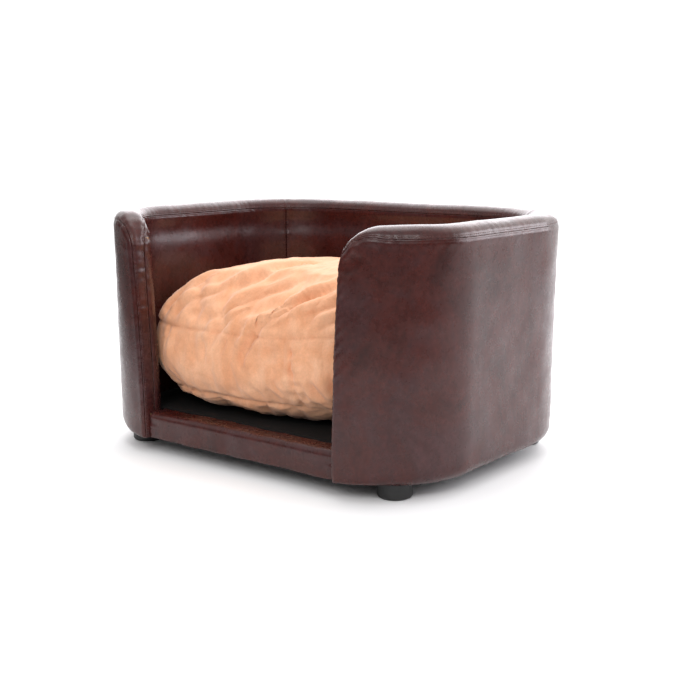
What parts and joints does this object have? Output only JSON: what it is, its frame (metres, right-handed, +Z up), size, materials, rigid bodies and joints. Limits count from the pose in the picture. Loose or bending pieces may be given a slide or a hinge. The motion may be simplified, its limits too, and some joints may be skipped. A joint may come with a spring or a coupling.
{
  "type": "dog bed with upholstered frame",
  "caption": "Low pet sofa: rounded padded frame in glossy dark faux leather, open at the front between two arms, on short round feet, with a deep loose suede cushion.",
  "frame": {"origin": "on the floor under the middle of the bed", "axes": "+X across the bed, towards the right arm as seen from in front; -Y towards the open front; +Z up"},
  "size_m": [0.66, 0.495, 0.38],
  "materials": {
    "leather": "glossy burgundy-brown faux leather, mottled, fine grain",
    "cushion_suede": "soft peach faux suede",
    "plywood": "unfinished plywood",
    "pine": "planed softwood",
    "fibreboard": "smooth bent fibreboard",
    "foam": "open-cell upholstery foam",
    "wadding": "polyester wadding",
    "black_cloth": "black non-woven cloth",
    "foot_plastic": "satin black moulded plastic",
    "zinc_steel": "zinc-plated steel",
    "filling": "polyester fibre filling",
    "case_cloth": "thin white non-woven case",
    "zip_tape": "woven peach zip tape",
    "zip_nylon": "peach nylon coil",
    "zip_metal": "dull nickel-plated metal"
  },
  "bodies": {
    "bed_frame": {"arm_end_foam": "foam", "arm_posts": "pine", "base_board": "plywood", "cover_staples": "zinc_steel", "deck_battens": "pine", "deck_board": "plywood", "deck_fabric": "black_cloth", "deck_screws": "zinc_steel", "dust_cover": "black_cloth", "foot_back_left": "foot_plastic", "foot_back_right": "foot_plastic", "foot_front_left": "foot_plastic", "foot_front_right": "foot_plastic", "foot_screws": "zinc_steel", "frame_screws": "zinc_steel", "front_rail": "pine", "inner_board": "fibreboard", "inner_cover_back": "leather", "inner_cover_left": "leather", "inner_cover_right": "leather", "inner_foam_back": "foam", "inner_foam_left": "foam", "inner_foam_right": "foam", "outer_board": "fibreboard", "outer_cover": "leather", "outer_wadding": "wadding", "rail_cover": "leather", "rail_wadding": "wadding", "rim_foam": "foam", "rim_strip": "leather", "top_rail": "plywood", "wall_posts": "pine"},
    "cushion": {"cushion_top_panel": "cushion_suede", "cushion_boxing": "cushion_suede", "cushion_bottom_panel": "cushion_suede", "cushion_inner_case": "case_cloth", "cushion_filling": "filling", "zip_tapes": "zip_tape", "zip_coil": "zip_nylon", "zip_stops": "zip_metal"},
    "zip_slider": {"zip_slider": "zip_metal"},
    "zip_pull": {"zip_pull": "zip_metal"}
  },
  "joints": [
    {"name": "cushion_lift", "type": "slide", "parent": "bed_frame", "child": "cushion", "axis": [0, 0, 1], "range_m": [0, 0.33]},
    {"name": "zip_slide", "type": "slide", "parent": "cushion", "child": "zip_slider", "axis": [-1, 0, 0], "range_m": [0, 0.25]},
    {"name": "zip_pull_turn", "type": "hinge", "parent": "zip_slider", "child": "zip_pull", "pos_m": [0.128, 0.1911, 0.15], "axis": [0, 0, -1], "range_deg": [0, 22]}
  ]
}
